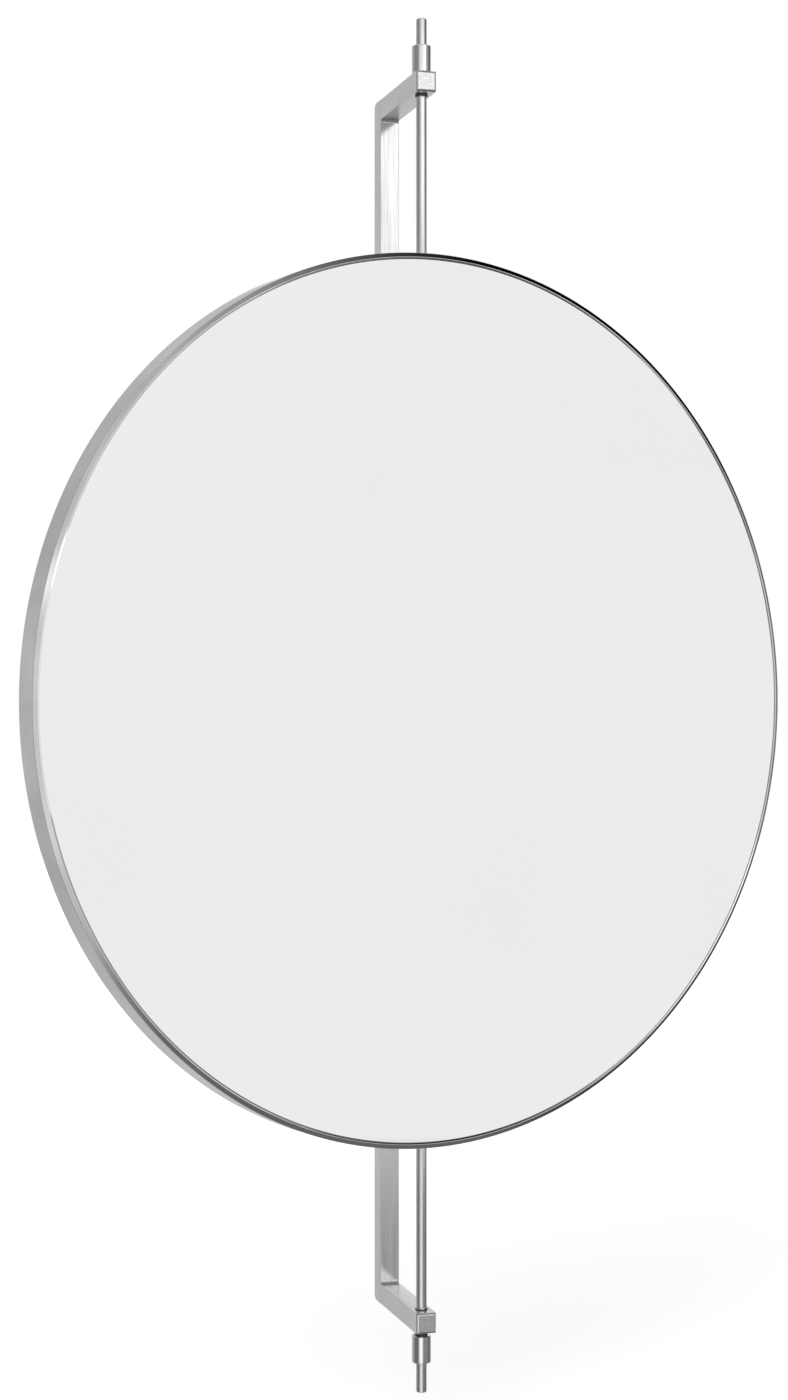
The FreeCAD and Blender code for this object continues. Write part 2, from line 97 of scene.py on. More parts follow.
@dataclass(frozen=True)
class MirrorPose:
    """Where the mirror stands: the rod's axis at the height of its middle, and its turn.

    In the mirror's own frame, Y grows towards the wall from the rod's axis.
    """

    rod: Vector
    turn: float

    def placed(self) -> Matrix:
        """Returns the matrix from the mirror's own frame, on the rod's axis, to its place."""
        return Matrix.Translation(self.rod) @ Matrix.Rotation(self.turn, 4, "Z")

    def own_points(self, node: bpy.types.Object) -> np.ndarray:
        """Returns a node's points in the mirror's own frame.

        Args:
            node: the CAD node to read.

        Returns:
            One row of x, y and z for each point, in metres.
        """
        back = self.placed().inverted()
        return np.array([back @ vertex.co for vertex in node.data.vertices])

    def radius(self, node: bpy.types.Object) -> float:
        """Returns the largest distance of a node's points from the mirror's middle line."""
        points = self.own_points(node)
        return float(np.hypot(points[:, 0], points[:, 2]).max())

    def depth_span(self, node: bpy.types.Object) -> tuple[float, float]:
        """Returns a node's nearest and farthest depth from the rod's axis."""
        depths = self.own_points(node)[:, 1]
        return float(depths.min()), float(depths.max())


def read_pose(nodes: dict[str, bpy.types.Object], joint: dict) -> MirrorPose:
    """Works out the mirror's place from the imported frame.

    Args:
        nodes: the CAD nodes by name.
        joint: the swivel joint's entry.

    Returns:
        The mirror's pose at rest.
    """
    points = np.array([vertex.co for vertex in nodes["mirror_glass"].data.vertices])
    spread = np.cov((points - points.mean(axis=0)).T)
    square_on = np.linalg.eigh(spread)[1][:, 0]
    square_on *= math.copysign(1.0, square_on[1])
    rod = Vector(joint["pos_m"])
    rod.z = float(points[:, 2].min() + points[:, 2].max()) / 2
    return MirrorPose(rod, math.atan2(-square_on[0], square_on[1]))


class Bench:
    """Modelling steps that several pieces share."""

    @staticmethod
    def clear() -> None:
        """Leaves object mode on and nothing selected."""
        if bpy.context.object and bpy.context.object.mode != "OBJECT":
            bpy.ops.object.mode_set(mode="OBJECT")
        bpy.ops.object.select_all(action="DESELECT")

    @staticmethod
    def round_bar(name: str, radius: float, span: tuple[float, float], sides: int, open_ends: bool,
                  along_depth: bool) -> bpy.types.Object:
        """Adds a round bar or tube blank, in the mirror's own frame.

        Args:
            name: the new piece's name.
            radius: its outer radius, in metres.
            span: where it starts and ends along its axis.
            sides: how many flats go round it.
            open_ends: whether it is a tube with no end faces.
            along_depth: whether it lies along Y; otherwise it stands along Z.

        Returns:
            The new object, selected and active.
        """
        Bench.clear()
        middle = sum(span) / 2
        bpy.ops.mesh.primitive_cylinder_add(
            vertices=sides,
            radius=radius,
            depth=span[1] - span[0],
            end_fill_type="NOTHING" if open_ends else "NGON",
            location=(0, middle, 0) if along_depth else (0, 0, middle),
            rotation=(math.radians(90), 0, 0) if along_depth else (0, 0, 0),
        )
        piece = bpy.context.object
        piece.name = name
        bpy.ops.object.transform_apply(location=True, rotation=True, scale=True)
        return piece

    @staticmethod
    def bevel_rings(piece: bpy.types.Object, wanted: Callable[[Vector], bool], width: float,
                    segments: int) -> None:
        """Bevels the edges whose two ends both pass a test.

        Args:
            piece: the piece to change.
            wanted: says whether a point lies on the ring.
            width: how wide the bevel is, in metres.
            segments: how many steps it has.
        """
        bpy.ops.object.mode_set(mode="EDIT")
        bpy.ops.mesh.select_mode(type="EDGE")
        bpy.ops.mesh.select_all(action="DESELECT")
        mesh = bmesh.from_edit_mesh(piece.data)
        for edge in mesh.edges:
            edge.select = all(wanted(vertex.co) for vertex in edge.verts)
        bmesh.update_edit_mesh(piece.data)
        bpy.ops.mesh.bevel(offset=width, segments=segments, profile=0.5)
        bpy.ops.object.mode_set(mode="OBJECT")

    @staticmethod
    def finish(piece: bpy.types.Object, pose: MirrorPose) -> None:
        """Turns a piece to its place, faces it outwards and smooths its round faces.

        Args:
            piece: the piece, in the mirror's own frame.
            pose: where the mirror stands.
        """
        bpy.ops.object.mode_set(mode="EDIT")
        bpy.ops.mesh.select_all(action="SELECT")
        bpy.ops.mesh.remove_doubles(threshold=1e-6)
        bpy.ops.mesh.normals_make_consistent(inside=False)
        bpy.ops.object.mode_set(mode="OBJECT")
        piece.matrix_world = pose.placed()
        bpy.ops.object.transform_apply(location=True, rotation=True, scale=True)
        bpy.ops.object.shade_smooth_by_angle(angle=math.radians(10))


class Effects:
    """Shader node groups that several finishes use."""

    @staticmethod
    def start(
        name: str, inputs: Iterable[tuple[str, str]], outputs: Iterable[tuple[str, str]],
    ) -> tuple[bpy.types.NodeTree, bpy.types.Node, bpy.types.Node]:
        """Makes an empty group with named sockets.

        Args:
            name: the group's name.
            inputs: each input's name and socket type.
            outputs: each output's name and socket type.

        Returns:
            The group, its input node and its output node.
        """
        group = bpy.data.node_groups.new(name, "ShaderNodeTree")
        for label, kind in inputs:
            group.interface.new_socket(label, in_out="INPUT", socket_type=kind)
        for label, kind in outputs:
            group.interface.new_socket(label, in_out="OUTPUT", socket_type=kind)
        return group, group.nodes.new("NodeGroupInput"), group.nodes.new("NodeGroupOutput")

    @staticmethod
    def brushing() -> bpy.types.NodeTree:
        """Makes fine parallel scratches over a broad soft mottling.

        Returns:
            The new group.
        """
        group, given, out = Effects.start(
            "Brushing",
            [("Vector", "NodeSocketVector"), ("Run", "NodeSocketVector"),
             ("Scratch Scale", "NodeSocketFloat"), ("Mottle Scale", "NodeSocketFloat")],
            [("Scratches", "NodeSocketFloat"), ("Mottling", "NodeSocketFloat")],
        )
        stretch = group.nodes.new("ShaderNodeVectorMath")
        stretch.operation = "MULTIPLY"
        group.links.new(given.outputs["Vector"], stretch.inputs[0])
        group.links.new(given.outputs["Run"], stretch.inputs[1])
        for scale, label, detail, source in (
            ("Scratch Scale", "Scratches", 4.0, stretch.outputs[0]),
            ("Mottle Scale", "Mottling", 3.0, given.outputs["Vector"]),
        ):
            noise = group.nodes.new("ShaderNodeTexNoise")
            noise.inputs["Detail"].default_value = detail
            group.links.new(source, noise.inputs["Vector"])
            group.links.new(given.outputs[scale], noise.inputs["Scale"])
            group.links.new(noise.outputs["Fac"], out.inputs[label])
        return group

    @staticmethod
    def round_the_rim() -> bpy.types.NodeTree:
        """Makes coordinates that follow the rim: along its arc, and through its depth.

        Returns:
            The new group.
        """
        group, given, out = Effects.start(
            "Round the rim",
            [("Vector", "NodeSocketVector"), ("Radius", "NodeSocketFloat")],
            [("Vector", "NodeSocketVector")],
        )
        split = group.nodes.new("ShaderNodeSeparateXYZ")
        group.links.new(given.outputs["Vector"], split.inputs[0])
        angle = group.nodes.new("ShaderNodeMath")
        angle.operation = "ARCTAN2"
        group.links.new(split.outputs["Z"], angle.inputs[0])
        group.links.new(split.outputs["X"], angle.inputs[1])
        arc = group.nodes.new("ShaderNodeMath")
        arc.operation = "MULTIPLY"
        group.links.new(angle.outputs[0], arc.inputs[0])
        group.links.new(given.outputs["Radius"], arc.inputs[1])
        join = group.nodes.new("ShaderNodeCombineXYZ")
        group.links.new(arc.outputs[0], join.inputs["X"])
        group.links.new(split.outputs["Y"], join.inputs["Y"])
        group.links.new(join.outputs[0], out.inputs["Vector"])
        return group


@dataclass(frozen=True)
class Metal:
    """A bare metal finish with a brushed or bead-blasted surface."""

    name: str
    colour: Colour
    roughness: tuple[float, float]
    run: Run
    scratch_scale: float = 900.0
    mottle_scale: float = 26.0
    mottle_depth: float = 0.10
    bump: float = 0.05
    scratch_height: float = 0.00002

    def build(self, effects: dict[str, bpy.types.NodeTree],
              pose: MirrorPose | None = None, radius: float = 0.0) -> bpy.types.Material:
        """Builds the material.

        Args:
            effects: the shared node groups by name.
            pose: the mirror's pose, for a finish that runs round the rim.
            radius: the rim's radius, for the same.

        Returns:
            The new material.
        """
        material, nodes, links, shader = new_material(self.name)
        shader.inputs["Metallic"].default_value = 1.0
        place = nodes.new("ShaderNodeTexCoord").outputs["Object"]
        if pose is not None:
            to_own = nodes.new("ShaderNodeMapping")
            to_own.vector_type = "TEXTURE"
            to_own.inputs["Location"].default_value = pose.rod
            to_own.inputs["Rotation"].default_value = (0, 0, pose.turn)
            links.new(place, to_own.inputs["Vector"])
            follow = nodes.new("ShaderNodeGroup")
            follow.node_tree = effects["round"]
            follow.inputs["Radius"].default_value = radius
            links.new(to_own.outputs[0], follow.inputs["Vector"])
            place = follow.outputs["Vector"]
        brushing = nodes.new("ShaderNodeGroup")
        brushing.node_tree = effects["brushing"]
        brushing.inputs["Run"].default_value = self.run.value
        brushing.inputs["Scratch Scale"].default_value = self.scratch_scale
        brushing.inputs["Mottle Scale"].default_value = self.mottle_scale
        links.new(place, brushing.inputs["Vector"])
        low = tuple(channel * (1 - self.mottle_depth) for channel in self.colour)
        tint(nodes, links, brushing.outputs["Mottling"], low, self.colour, shader.inputs["Base Color"])
        spread(nodes, links, brushing.outputs["Scratches"], self.roughness, shader.inputs["Roughness"])
        roughen(nodes, links, brushing.outputs["Scratches"], (self.bump, self.scratch_height), shader)
        return material


@dataclass(frozen=True)
class Silvering:
    """The mirror's face: silver under clear glass, with faint wiping marks."""

    name: str = "mirror silvering"
    colour: Colour = (0.96, 0.96, 0.95)
    roughness: tuple[float, float] = (0.004, 0.02)
    smear_scale: float = 7.0
    smear_share: float = 0.985

    def build(self) -> bpy.types.Material:
        """Builds the material.

        Returns:
            The new material.
        """
        material, nodes, links, shader = new_material(self.name)
        shader.inputs["Metallic"].default_value = 1.0
        smears = nodes.new("ShaderNodeTexNoise")
        smears.inputs["Scale"].default_value = self.smear_scale
        smears.inputs["Detail"].default_value = 5.0
        links.new(nodes.new("ShaderNodeTexCoord").outputs["Object"], smears.inputs["Vector"])
        spread(nodes, links, smears.outputs["Fac"], self.roughness, shader.inputs["Roughness"])
        low = tuple(channel * self.smear_share for channel in self.colour)
        tint(nodes, links, smears.outputs["Fac"], low, self.colour, shader.inputs["Base Color"])
        return material


@dataclass(frozen=True)
class Matt:
    """A finish with no metal in it: plastic, foam or fibreboard."""

    name: str
    dark: Colour
    light: Colour
    scale: float
    roughness: tuple[float, float]
    bump: float
    grain_height: float = 0.0001

    def build(self) -> bpy.types.Material:
        """Builds the material.

        Returns:
            The new material.
        """
        material, nodes, links, shader = new_material(self.name)
        grain = nodes.new("ShaderNodeTexNoise")
        grain.inputs["Scale"].default_value = self.scale
        grain.inputs["Detail"].default_value = 6.0
        links.new(nodes.new("ShaderNodeTexCoord").outputs["Object"], grain.inputs["Vector"])
        tint(nodes, links, grain.outputs["Fac"], self.dark, self.light, shader.inputs["Base Color"])
        spread(nodes, links, grain.outputs["Fac"], self.roughness, shader.inputs["Roughness"])
        roughen(nodes, links, grain.outputs["Fac"], (self.bump, self.grain_height), shader)
        return material


def new_material(name: str) -> tuple[bpy.types.Material, Nodes, Links, bpy.types.Node]:
    """Makes an empty material.

    Args:
        name: the material's name.

    Returns:
        The material, its nodes, its links and its shader node.
    """
    material = bpy.data.materials.new(name)
    material.use_nodes = True
    tree = material.node_tree
    return material, tree.nodes, tree.links, tree.nodes["Principled BSDF"]


def tint(nodes: Nodes, links: Links, source: Socket, low: Colour, high: Colour, target: Socket) -> None:
    """Feeds a socket a colour between two, by a noise.

    Args:
        nodes: the material's nodes.
        links: the material's links.
        source: the noise.
        low: the colour where the noise is low.
        high: the colour where it is high.
        target: the socket to feed.
    """
    ramp = nodes.new("ShaderNodeValToRGB")
    for stop, place, colour in zip(ramp.color_ramp.elements, NOISE_SPAN, (low, high)):
        stop.position = place
        stop.color = (*colour, 1.0)
    links.new(source, ramp.inputs["Fac"])
    links.new(ramp.outputs["Color"], target)


def map_range(nodes: Nodes, links: Links, source: Socket, span: tuple[float, float],
              result: tuple[float, float] = (0.0, 1.0)) -> bpy.types.Node:
    """Turns a span of values into another.

    Args:
        nodes: the material's or the world's nodes.
        links: its links.
        source: the value.
        span: where the value starts and ends.
        result: what comes out at each of them.

    Returns:
        The node that does it.
    """
    node = nodes.new("ShaderNodeMapRange")
    node.inputs["From Min"].default_value = span[0]
    node.inputs["From Max"].default_value = span[1]
    node.inputs["To Min"].default_value = result[0]
    node.inputs["To Max"].default_value = result[1]
    links.new(source, node.inputs["Value"])
    return node


def spread(nodes: Nodes, links: Links, source: Socket, span: tuple[float, float], target: Socket) -> None:
    """Feeds a socket a number between two, by a noise.

    Args:
        nodes: the material's nodes.
        links: the material's links.
        source: the noise.
        span: the number where the noise is low, and where it is high.
        target: the socket to feed.
    """
    links.new(map_range(nodes, links, source, NOISE_SPAN, span).outputs["Result"], target)


def roughen(nodes: Nodes, links: Links, source: Socket, bump: tuple[float, float],
            shader: bpy.types.Node) -> None:
    """Bumps a shader's surface by a noise.

    Args:
        nodes: the material's nodes.
        links: the material's links.
        source: the noise.
        bump: the bump's strength, and its height in metres.
        shader: the shader to bump.
    """
    relief = nodes.new("ShaderNodeBump")
    relief.inputs["Strength"].default_value = bump[0]
    relief.inputs["Distance"].default_value = bump[1]
    links.new(source, relief.inputs["Height"])
    links.new(relief.outputs["Normal"], shader.inputs["Normal"])


def dress(piece: bpy.types.Object, material: bpy.types.Material) -> None:
    """Gives a piece one material all over.

    Args:
        piece: a new piece or a CAD node.
        material: its finish.
    """
    piece.data.materials.clear()
    piece.data.materials.append(material)
    LOG.info("%s: %s", piece.name, material.name)


def stand_in(piece: bpy.types.Object, node: str, material: bpy.types.Material) -> None:
    """Puts a new piece on the mirror in place of a CAD node.

    Args:
        piece: the new piece.
        node: the node that it replaces.
        material: its finish.
    """
    dress(piece, material)
    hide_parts(node)
    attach(piece, "mirror")


@dataclass(frozen=True)
class Finishes:
    """Every finish on the object."""

    upright: bpy.types.Material
    level: bpy.types.Material
    drawn: bpy.types.Material
    rim: bpy.types.Material
    silvering: bpy.types.Material
    screws: bpy.types.Material
    aluminium: bpy.types.Material
    plastic: bpy.types.Material
    foam: bpy.types.Material
    board: bpy.types.Material

    @classmethod
    def mixed(cls, pose: MirrorPose, rim_radius: float) -> "Finishes":
        """Builds every finish.

        Args:
            pose: the mirror's pose, which the rim's brushing follows.
            rim_radius: the rim's outer radius.

        Returns:
            The finishes.
        """
        effects = {"brushing": Effects.brushing(), "round": Effects.round_the_rim()}
        steel = (0.80, 0.80, 0.79)
        grey = (0.5, 0.5, 0.5)
        satin = (0.72, 0.72, 0.73)
        upright = Metal("steel brushed upright", steel, (0.14, 0.26), Run.UPRIGHT, bump=0.035)
        level = Metal("steel brushed level", steel, (0.16, 0.30), Run.LEVEL, bump=0.04)
        drawn = Metal("drawn steel", steel, (0.08, 0.13), Run.UPRIGHT, bump=0.004)
        rim = Metal("steel brushed round", steel, (0.09, 0.15), Run.ROUND, mottle_depth=0.14, bump=0.01)
        screws = Metal("machined screw steel", grey, (0.25, 0.40), Run.LEVEL)
        aluminium = Metal("satin aluminium", satin, (0.34, 0.48), Run.UPRIGHT)
        black = (0.03, 0.03, 0.03)
        worn_black = (0.06, 0.06, 0.06)
        plastic = Matt("black bush plastic", black, worn_black, 700.0, (0.25, 0.35), 0.1)
        foam = Matt("white foam tape", (0.75, 0.75, 0.74), (0.88, 0.88, 0.87), 900.0, (0.8, 0.95), 0.4)
        board = Matt("fibreboard", (0.32, 0.22, 0.13), (0.50, 0.36, 0.24), 400.0, (0.7, 0.9), 0.3)
        return cls(
            upright=upright.build(effects),
            level=level.build(effects),
            drawn=drawn.build(effects),
            rim=rim.build(effects, pose, rim_radius),
            silvering=Silvering().build(),
            screws=screws.build(effects),
            aluminium=aluminium.build(effects),
            plastic=plastic.build(),
            foam=foam.build(),
            board=board.build(),
        )


@dataclass
class FramedGlass:
    """The rim, the glass in it, and the board, tape, plate and lugs that hold the glass."""

    pose: MirrorPose
    nodes: dict[str, bpy.types.Object]
    sides: int = 384
    wall: float = 0.0032
    slope_width: float = 0.0029
    slope_depth: float = 0.0012
    edge_round: float = 0.0003
    arris_width: float = 0.0012
    arris_depth: float = 0.0004
    glass_gap: float = 0.0001

    def rim(self) -> bpy.types.Object:
        """Models the rim, a flat bar rolled to a ring, with a sloped front and rounded edges.

        Returns:
            The rim.
        """
        node = self.nodes["mirror_rim"]
        radius = self.pose.radius(node)
        span = self.pose.depth_span(node)
        piece = Bench.round_bar("rim_band", radius, span, self.sides, True, True)
        shell = piece.modifiers.new("wall", "SOLIDIFY")
        shell.thickness = self.wall
        shell.offset = -1.0
        shell.use_even_offset = True
        bpy.ops.object.modifier_apply(modifier=shell.name)
        middle = radius - self.wall / 2

        def outer_front(point: Vector) -> bool:
            """Returns whether a point is on the outer front edge."""
            return math.hypot(point.x, point.z) > middle and abs(point.y - span[0]) < NEAR

        Bench.bevel_rings(piece, outer_front, self.slope_depth, 1)
        self.widen_slope(piece, span[0], radius - self.slope_depth, radius - self.slope_width)

        def sharp_edge(point: Vector) -> bool:
            """Returns whether a point is on the slope's outer edge or a rear edge."""
            outer = math.hypot(point.x, point.z) > radius - NEAR
            slope_end = outer and abs(point.y - span[0] - self.slope_depth) < NEAR
            return slope_end or abs(point.y - span[1]) < NEAR

        Bench.bevel_rings(piece, sharp_edge, self.edge_round, 2)
        Bench.finish(piece, self.pose)
        return piece

    @staticmethod
    def widen_slope(piece: bpy.types.Object, front: float, bevelled: float, wanted: float) -> None:
        """Draws a bevel's front edge in, so that it slopes more gently than it was bevelled.

        Args:
            piece: the piece, in the mirror's own frame.
            front: the depth of its front face.
            bevelled: the radius of the bevel's front edge now.
            wanted: the radius that it is to have.
        """
        bpy.ops.object.mode_set(mode="EDIT")
        bpy.ops.mesh.select_mode(type="VERT")
        bpy.ops.mesh.select_all(action="DESELECT")
        mesh = bmesh.from_edit_mesh(piece.data)
        for vertex in mesh.verts:
            on_front = abs(vertex.co.y - front) < NEAR
            vertex.select = on_front and math.hypot(vertex.co.x, vertex.co.z) > bevelled - 2 * NEAR
        mesh.select_flush_mode()
        bmesh.update_edit_mesh(piece.data)
        share = wanted / bevelled
        bpy.ops.transform.resize(value=(share, 1.0, share), center_override=(0.0, 0.0, 0.0))
        bpy.ops.object.mode_set(mode="OBJECT")

    def glass(self) -> bpy.types.Object:
        """Models the glass, a flat disc with its front edge ground back and its back edge broken.

        Returns:
            The glass.
        """
        radius = self.pose.radius(self.nodes["mirror_rim"]) - self.wall - self.glass_gap
        span = self.pose.depth_span(self.nodes["mirror_glass"])
        piece = Bench.round_bar("glass_disc", radius, span, self.sides, False, True)
        Bench.bevel_rings(piece, lambda point: abs(point.y - span[1]) < NEAR, self.edge_round, 1)
        Bench.bevel_rings(piece, lambda point: abs(point.y - span[0]) < NEAR, self.arris_depth, 1)
        self.widen_slope(piece, span[0], radius - self.arris_depth, radius - self.arris_width)
        Bench.finish(piece, self.pose)
        return piece

    def make(self, finishes: Finishes) -> None:
        """Models the rim and the glass, and dresses them and what holds the glass.

        Args:
            finishes: the object's finishes.
        """
        stand_in(self.rim(), "mirror_rim", finishes.rim)
        stand_in(self.glass(), "mirror_glass", finishes.silvering)
        dress(self.nodes["backing_board"], finishes.board)
        dress(self.nodes["tape_strips"], finishes.foam)
        dress(self.nodes["back_plate"], finishes.aluminium)
        for name in ("rim_lugs", "back_plate_screws"):
            dress(self.nodes[name], finishes.screws)


@dataclass
class Rod:
    """The upright rod, its collars, and the clamps that join it to the mirror."""

    pose: MirrorPose
    nodes: dict[str, bpy.types.Object]
    sides: int = 96
    end_round: float = 0.0006

    def rod(self) -> bpy.types.Object:
        """Models the rod, with both ends rounded.

        Returns:
            The rod.
        """
        low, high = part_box("pivot_rod")
        radius = (high.x - low.x) / 2

        def end(point: Vector) -> bool:
            """Returns whether a point is on either end."""
            return min(abs(point.z - low.z), abs(point.z - high.z)) < NEAR

        piece = Bench.round_bar("swivel_rod", radius, (low.z, high.z), self.sides, False, False)
        Bench.bevel_rings(piece, end, self.end_round, 3)
        Bench.finish(piece, MirrorPose(Vector((self.pose.rod.x, self.pose.rod.y, 0)), self.pose.turn))
        return piece

    def make(self, finishes: Finishes) -> None:
        """Models the rod, and dresses it, its collars and its clamps.

        Args:
            finishes: the object's finishes.
        """
        stand_in(self.rod(), "pivot_rod", finishes.drawn)
        for end in ("upper", "lower"):
            dress(self.nodes[f"{end}_collar"], finishes.drawn)
            dress(self.nodes[f"{end}_rod_clamp"], finishes.aluminium)
            dress(self.nodes[f"{end}_collar_screw"], finishes.screws)
            dress(self.nodes[f"{end}_clamp_grub_screw"], finishes.screws)
        for name in ("clamp_screws", "clamp_nuts"):
            dress(self.nodes[name], finishes.screws)


@dataclass
class WallBracket:
    """The wall bar, its two arms, their screws and the bushes that the rod turns in."""

    nodes: dict[str, bpy.types.Object]

    def make(self, finishes: Finishes) -> None:
        """Dresses the bracket.

        Args:
            finishes: the object's finishes.
        """
        dress(self.nodes["wall_bar"], finishes.upright)
        for end in ("upper", "lower"):
            dress(self.nodes[f"{end}_arm"], finishes.level)
            dress(self.nodes[f"{end}_arm_screw"], finishes.screws)
            dress(self.nodes[f"{end}_outer_bush"], finishes.plastic)
            dress(self.nodes[f"{end}_inner_bush"], finishes.plastic)


@dataclass(frozen=True)
class Lamp:
    """A soft square light that shines on the object's middle."""

    name: str
    place: tuple[float, float, float]
    power: float
    size: float

    def add(self) -> None:
        """Adds the light, which doesn't show in polished faces."""
        data = bpy.data.lights.new(self.name, "AREA")
        data.energy = self.power
        data.size = self.size
        lamp = bpy.data.objects.new(self.name, data)
        lamp.location = self.place
        lamp.rotation_euler = (-Vector(self.place)).to_track_quat("-Z", "Y").to_euler()
        lamp.visible_glossy = False
        bpy.context.scene.collection.objects.link(lamp)


@dataclass
class Studio:
    """The floor, the lights, the surroundings and the camera.

    The surroundings are four rings of grey panels, one above the other. Each ring lists bearings in
    degrees from straight in front, with the grey there. A join is the span of a direction's height
    in which one ring passes into the next, and the two fades are such spans too.
    """

    rod: Vector
    floor_drop: float = 0.06
    floor_size: float = 12.0
    floor_grey: float = 0.9
    lens: float = 60.8
    sensor: float = 36.0
    distance: float = 1.6126
    azimuth: float = 17.03
    rod_right: float = 0.0187
    height: float = 0.0080      # above the mirror's middle
    tilt: float = -0.263
    glow: float = 1.5
    overhead: tuple[float, float] = (0.66, 0.90)
    overhead_share: float = 1.2
    underfoot: tuple[float, float] = (-0.50, -0.62)
    underfoot_share: float = 0.6
    lower_join: tuple[float, float] = (-0.186, -0.205)
    upper_join: tuple[float, float] = (0.178, 0.198)
    high_join: tuple[float, float] = (0.262, 0.29)
    near_floor: tuple[float, float] = (0.9, 0.40)     # distance, and the strength of its own white
    far_floor: tuple[float, float] = (2.6, 1.0)
    high: Greys = (
        (-180, 0.40), (-120, 0.24), (-90, 0.20), (-50, 0.28), (-10, 0.42), (7, 0.42), (13, 0.36), (43, 0.12),
        (58, 0.03), (72, 0.0), (102, 0.0), (116, 0.30), (180, 0.40),
    )
    upper: Greys = (
        (-180, 0.40), (-163, 0.38), (-140, 0.33), (-120, 0.24), (-100, 0.17), (-68, 0.17), (-50, 0.28),
        (-32, 0.70), (-10, 0.78), (6, 0.78), (12, 1.3), (28, 1.3), (44, 0.40), (57, 0.28), (74, 0.28),
        (83, 0.04), (99, 0.04), (112, 0.32), (142, 0.45), (156, 0.72), (172, 0.72), (180, 0.40),
    )
    level: Greys = (
        (-180, 0.40), (-125, 0.38), (-105, 0.17), (-70, 0.22), (-40, 0.42), (0, 0.52), (20, 0.55),
        (30, 0.59), (68, 0.585), (76, 0.24), (83, 0.04), (99, 0.04), (110, 0.35), (150, 0.36), (180, 0.40),
    )
    lower: Greys = (
        (-180, 0.39), (-163, 0.37), (-140, 0.33), (-120, 0.23), (-100, 0.11), (-62, 0.11), (-46, 0.30),
        (-34, 0.80), (-8, 0.80), (5, 0.24), (12, 0.19), (30, 0.17), (50, 0.18), (78, 0.15), (84, 0.06),
        (99, 0.06), (112, 0.30), (146, 0.32), (163, 0.42), (180, 0.39),
    )
    lamps: tuple[Lamp, ...] = (
        Lamp("key", (-1.6, -2.4, 1.8), 38.0, 1.8),
        Lamp("fill", (2.2, -2.0, 0.4), 16.0, 2.2),
        Lamp("rear", (0.6, 2.2, 1.6), 20.0, 1.8),
    )

    def camera(self) -> None:
        """Places the camera and makes it the scene's."""
        turn = math.radians(self.azimuth)
        ahead = Vector((math.sin(turn), math.cos(turn), 0))
        right = Vector((math.cos(turn), -math.sin(turn), 0))
        level = Vector((self.rod.x, self.rod.y, self.rod.z + self.height))
        data = bpy.data.cameras.new("camera")
        data.lens = self.lens
        data.sensor_fit = "VERTICAL"
        data.sensor_height = self.sensor
        camera = bpy.data.objects.new("camera", data)
        camera.location = level - ahead * self.distance - right * self.rod_right
        camera.rotation_euler = (math.radians(90 + self.tilt), 0, -turn)
        bpy.context.scene.collection.objects.link(camera)
        bpy.context.scene.camera = camera

    @staticmethod
    def panels(nodes: Nodes, links: Links, bearing: Socket, greys: Greys) -> Socket:
        """Lays a ring of grey panels round the object.

        Args:
            nodes: the world's nodes.
            links: the world's links.
            bearing: the socket that gives the bearing, from 0 to 1.
            greys: each bearing in degrees, from straight in front, and its grey.

        Returns:
            The socket that gives the grey.
        """
        ramp = nodes.new("ShaderNodeValToRGB")
        stops = ramp.color_ramp.elements
        stops.remove(stops[-1])
        first = greys[0][1]
        stops[0].position = 0.0
        stops[0].color = (first, first, first, 1.0)
        for degrees, grey in greys[1:]:
            stops.new((degrees + 180) / 360).color = (grey, grey, grey, 1.0)
        links.new(bearing, ramp.inputs["Fac"])
        return ramp.outputs["Color"]

    @staticmethod
    def bearing(nodes: Nodes, links: Links, direction: bpy.types.Node) -> Socket:
        """Works out the bearing of a direction from straight in front.

        Args:
            nodes: the world's nodes.
            links: the world's links.
            direction: the node that gives the direction's x, y and z.

        Returns:
            The socket that gives the bearing, from 0 to 1 round the whole turn.
        """
        flip = nodes.new("ShaderNodeMath")
        flip.operation = "MULTIPLY"
        flip.inputs[1].default_value = -1.0
        links.new(direction.outputs["Y"], flip.inputs[0])
        turn = nodes.new("ShaderNodeMath")
        turn.operation = "ARCTAN2"
        links.new(direction.outputs["X"], turn.inputs[0])
        links.new(flip.outputs[0], turn.inputs[1])
        return map_range(nodes, links, turn.outputs[0], (-math.pi, math.pi)).outputs["Result"]

    def world(self) -> None:
        """Builds the surroundings: white to the camera, and rings of grey panels to all else."""
        world = bpy.data.worlds.new("studio")
        bpy.context.scene.world = world
        world.use_nodes = True
        nodes, links = world.node_tree.nodes, world.node_tree.links
        direction = nodes.new("ShaderNodeSeparateXYZ")
        links.new(nodes.new("ShaderNodeTexCoord").outputs["Generated"], direction.inputs[0])
        bearing = self.bearing(nodes, links, direction)
        greys = self.panels(nodes, links, bearing, self.level)
        for ring, span in (
            (self.lower, self.lower_join),
            (self.upper, self.upper_join),
            (self.high, self.high_join),
        ):
            reach = map_range(nodes, links, direction.outputs["Z"], span)
            join = nodes.new("ShaderNodeMixRGB")
            links.new(reach.outputs["Result"], join.inputs["Fac"])
            links.new(greys, join.inputs["Color1"])
            links.new(self.panels(nodes, links, bearing, ring), join.inputs["Color2"])
            greys = join.outputs["Color"]
        for span, share in (
            (self.overhead, (self.glow, self.glow * self.overhead_share)),
            (self.underfoot, (1.0, self.underfoot_share)),
        ):
            fade = map_range(nodes, links, direction.outputs["Z"], span, share)
            scaled = nodes.new("ShaderNodeVectorMath")
            scaled.operation = "SCALE"
            links.new(greys, scaled.inputs[0])
            links.new(fade.outputs["Result"], scaled.inputs["Scale"])
            greys = scaled.outputs[0]
        choose = nodes.new("ShaderNodeMixRGB")
        choose.inputs["Color2"].default_value = (1.0, 1.0, 1.0, 1.0)
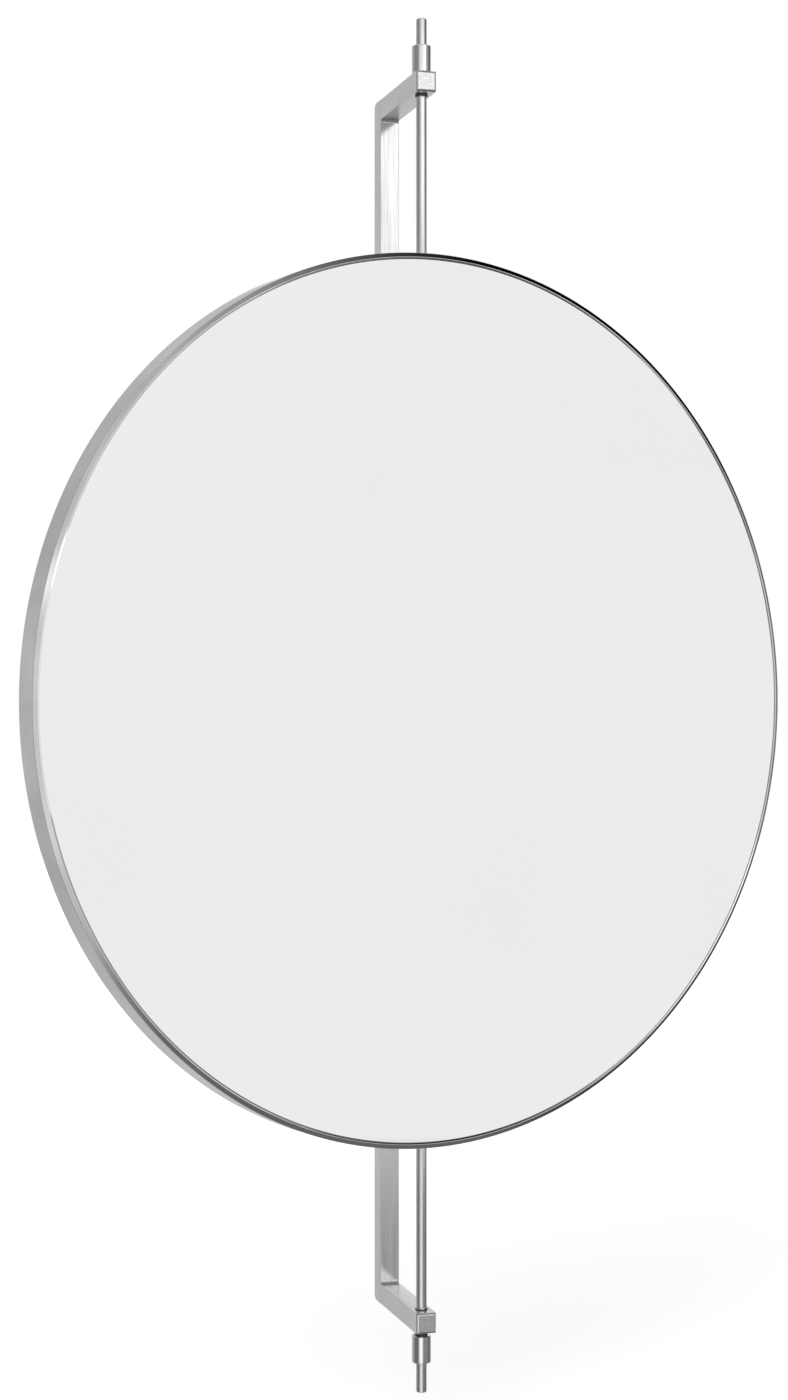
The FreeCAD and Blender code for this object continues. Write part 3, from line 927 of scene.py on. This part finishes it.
        links.new(nodes.new("ShaderNodeLightPath").outputs["Is Camera Ray"], choose.inputs["Fac"])
        links.new(greys, choose.inputs["Color1"])
        links.new(choose.outputs["Color"], nodes["Background"].inputs["Color"])

    def floor(self) -> None:
        """Adds the pale floor below the rod's lower end, whiter to the camera the farther it is."""
        Bench.clear()
        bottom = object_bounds()[0][2] - self.floor_drop
        bpy.ops.mesh.primitive_plane_add(size=self.floor_size, location=(0, 0, bottom))
        floor = bpy.context.object
        floor.name = "floor"
        material, nodes, links, shader = new_material("pale floor")
        grey = self.floor_grey
        shader.inputs["Base Color"].default_value = (grey, grey, grey, 1.0)
        shader.inputs["Roughness"].default_value = 0.9
        shader.inputs["Emission Color"].default_value = (1.0, 1.0, 1.0, 1.0)
        away = nodes.new("ShaderNodeVectorMath")
        away.operation = "LENGTH"
        links.new(nodes.new("ShaderNodeTexCoord").outputs["Object"], away.inputs[0])
        distances, strengths = zip(self.near_floor, self.far_floor)
        fill = map_range(nodes, links, away.outputs["Value"], distances, strengths)
        fill.interpolation_type = "SMOOTHSTEP"
        whiten = nodes.new("ShaderNodeMath")
        whiten.operation = "MULTIPLY"
        links.new(fill.outputs["Result"], whiten.inputs[0])
        links.new(nodes.new("ShaderNodeLightPath").outputs["Is Camera Ray"], whiten.inputs[1])
        links.new(whiten.outputs[0], shader.inputs["Emission Strength"])
        floor.data.materials.append(material)
        floor.visible_glossy = False
        floor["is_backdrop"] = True

    def build(self) -> None:
        """Builds all of it."""
        bpy.context.scene.view_settings.view_transform = "Standard"
        self.camera()
        for lamp in self.lamps:
            lamp.add()
        self.world()
        self.floor()


def main() -> None:
    """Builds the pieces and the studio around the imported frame."""
    logging.basicConfig(level=logging.INFO)
    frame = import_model()
    nodes = frame["nodes"]
    pose = read_pose(nodes, frame["joints"][0])
    LOG.info("mirror turned %.2f degrees", math.degrees(pose.turn))
    finishes = Finishes.mixed(pose, pose.radius(nodes["mirror_rim"]))
    FramedGlass(pose, nodes).make(finishes)
    Rod(pose, nodes).make(finishes)
    WallBracket(nodes).make(finishes)
    Studio(pose.rod).build()


if __name__ == "__main__":
    main()
